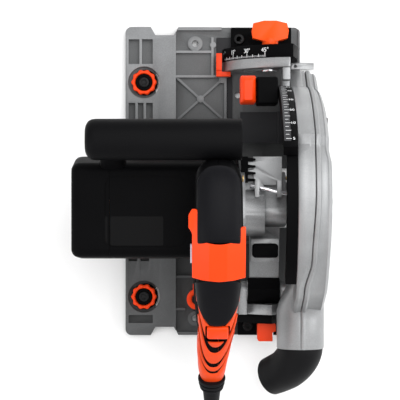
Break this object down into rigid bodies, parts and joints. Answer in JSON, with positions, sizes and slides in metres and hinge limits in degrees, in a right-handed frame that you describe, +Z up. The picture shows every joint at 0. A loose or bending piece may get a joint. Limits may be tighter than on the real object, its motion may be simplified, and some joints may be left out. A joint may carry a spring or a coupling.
{
  "type": "track plunge saw",
  "caption": "Plunge-cut circular saw on a flat cast base with a rail groove, bevel quadrants, blade case, dust elbow, D-handle, front grip bar and mains cord.",
  "frame": {"origin": "centre of the base plate's underside, on the surface it stands on", "axes": "+X towards the blade side, +Y the cutting direction, +Z up"},
  "size_m": [0.232, 0.5215, 0.245],
  "materials": {
    "cast_grey": "satin die-cast, shot-blasted",
    "case_silver": "satin silver paint on cast metal",
    "orange": "moulded, satin",
    "orange_soft": "soft overmould",
    "black_plastic": "fine textured nylon",
    "soft_grip": "soft overmould",
    "steel": "ground steel",
    "dark_steel": "blackened screws",
    "gear_metal": "bare die-cast",
    "copper": "copper windings and segments",
    "brass": "brass",
    "laminations": "stacked sheet steel",
    "label_grey": "blank plate",
    "cord_black": "round rubber flex"
  },
  "bodies": {
    "base": {"base_plate": "cast_grey", "front_quadrant": "black_plastic", "rear_quadrant": "black_plastic", "base_screws": "dark_steel", "bevel_bolts": "steel", "cut_pointer": "label_grey", "cord_lower": "cord_black", "cord_coil": "cord_black", "plug": "cord_black"},
    "front_bevel_knob": {"front_bevel_knob": "orange"},
    "rear_bevel_knob": {"rear_bevel_knob": "orange"},
    "front_rail_knob": {"front_rail_knob": "orange", "front_rail_cam": "black_plastic"},
    "rear_rail_knob": {"rear_rail_knob": "orange", "rear_rail_cam": "black_plastic"},
    "tip_stop_knob": {"tip_stop_knob": "orange"},
    "tilt_unit": {"blade_case": "case_silver", "case_cover": "case_silver", "case_screws": "steel", "front_tilt_arm": "gear_metal", "rear_tilt_arm": "gear_metal", "depth_scale": "black_plastic", "plunge_pin": "steel", "plunge_spring": "steel", "chip_apron": "black_plastic"},
    "bevel_stop": {"bevel_stop_lever": "orange"},
    "depth_stop": {"depth_stop_block": "black_plastic"},
    "depth_lever": {"depth_stop_lever": "orange"},
    "dust_elbow": {"dust_elbow": "black_plastic"},
    "saw_unit": {"gear_case": "gear_metal", "gear_cover": "gear_metal", "housing_screws": "brass", "motor_housing": "black_plastic", "motor_end_cap": "black_plastic", "front_grip": "soft_grip", "handle_left_shell": "black_plastic", "handle_right_shell": "black_plastic", "palm_pad": "soft_grip", "handle_collar": "orange", "rear_grip": "soft_grip", "tail_cover": "orange_soft", "side_plate": "label_grey", "cord_guard": "cord_black", "switch_body": "black_plastic", "stator": "laminations", "brush_holders": "brass", "bearings": "steel", "cord_upper": "cord_black"},
    "trigger": {"trigger": "black_plastic"},
    "lock_off_button": {"lock_off_button": "orange"},
    "latch_rod": {"latch_rod": "steel"},
    "armature": {"motor_shaft": "steel", "armature_core": "laminations", "commutator": "copper", "cooling_fan": "black_plastic"},
    "blade": {"drive_gear": "steel", "spindle": "steel", "saw_blade": "steel", "blade_flange": "steel"},
    "spindle_lock": {"spindle_lock": "black_plastic"}
  },
  "joints": [
    {"name": "bevel", "type": "hinge", "parent": "base", "child": "tilt_unit", "pos_m": [0.0885, 0, 0], "axis": [0, 1, 0], "range_deg": [0, 45]},
    {"name": "plunge", "type": "hinge", "parent": "tilt_unit", "child": "saw_unit", "pos_m": [0, -0.104, 0.056], "axis": [-1, 0, 0], "range_deg": [0, 41], "stiffness_Nm_per_rad": 4, "springref_deg": -68.75},
    {"name": "blade_spin", "type": "hinge", "parent": "saw_unit", "child": "blade", "pos_m": [0.0885, -0.018, 0.092], "axis": [1, 0, 0], "continuous": true},
    {"name": "armature_spin", "type": "hinge", "parent": "saw_unit", "child": "armature", "pos_m": [0, -0.02992, 0.11539], "axis": [1, 0, 0], "continuous": true},
    {"name": "front_bevel_clamp", "type": "hinge", "parent": "base", "child": "front_bevel_knob", "pos_m": [0.05409, 0.14, 0.04915], "axis": [0, 1, 0], "range_deg": [0, 180]},
    {"name": "rear_bevel_clamp", "type": "hinge", "parent": "base", "child": "rear_bevel_knob", "pos_m": [0.05409, -0.14, 0.04915], "axis": [0, 1, 0], "range_deg": [-150, 0]},
    {"name": "front_rail_cam_turn", "type": "hinge", "parent": "base", "child": "front_rail_knob", "pos_m": [-0.067, 0.096, 0.01], "axis": [0, 0, 1], "range_deg": [0, 90]},
    {"name": "rear_rail_cam_turn", "type": "hinge", "parent": "base", "child": "rear_rail_knob", "pos_m": [-0.067, -0.1125, 0.01], "axis": [0, 0, 1], "range_deg": [0, 90]},
    {"name": "tip_stop_turn", "type": "hinge", "parent": "base", "child": "tip_stop_knob", "pos_m": [-0.0154, -0.115, 0.012], "axis": [0, 0, 1], "range_deg": [-90, 0]},
    {"name": "bevel_stop_swing", "type": "hinge", "parent": "tilt_unit", "child": "bevel_stop", "pos_m": [0.0059, 0.106, 0.018], "axis": [0, 1, 0], "range_deg": [-25, 0]},
    {"name": "depth_setting", "type": "hinge", "parent": "tilt_unit", "child": "depth_stop", "pos_m": [0, -0.104, 0.056], "axis": [1, 0, 0], "range_deg": [0, 33]},
    {"name": "depth_clamp", "type": "slide", "parent": "depth_stop", "child": "depth_lever", "axis": [0, 1, 0], "range_m": [0, 0.003]},
    {"name": "elbow_swivel", "type": "hinge", "parent": "tilt_unit", "child": "dust_elbow", "pos_m": [0.081, -0.15, 0.08], "axis": [0, 1, 0], "range_deg": [-20, 120]},
    {"name": "trigger_pull", "type": "slide", "parent": "saw_unit", "child": "trigger", "axis": [0, 0, 1], "range_m": [0, 0.005], "stiffness_N_per_m": 900, "springref_m": -0.002},
    {"name": "lock_off_press", "type": "slide", "parent": "saw_unit", "child": "lock_off_button", "axis": [0, 0.682, -0.7314], "range_m": [0, 0.004], "stiffness_N_per_m": 800, "springref_m": -0.002},
    {"name": "latch_slide", "type": "slide", "parent": "saw_unit", "child": "latch_rod", "axis": [-0.9814, 0.1919, 0], "range_m": [0, 0.004]},
    {"name": "spindle_lock_press", "type": "slide", "parent": "saw_unit", "child": "spindle_lock", "axis": [0, 0, -1], "range_m": [0, 0.004], "stiffness_N_per_m": 900, "springref_m": -0.002}
  ],
  "couplings": [
    {"joint": "armature_spin", "follows": "blade_spin", "ratio": -4.25},
    {"joint": "latch_slide", "follows": "lock_off_press", "ratio": 1}
  ]
}
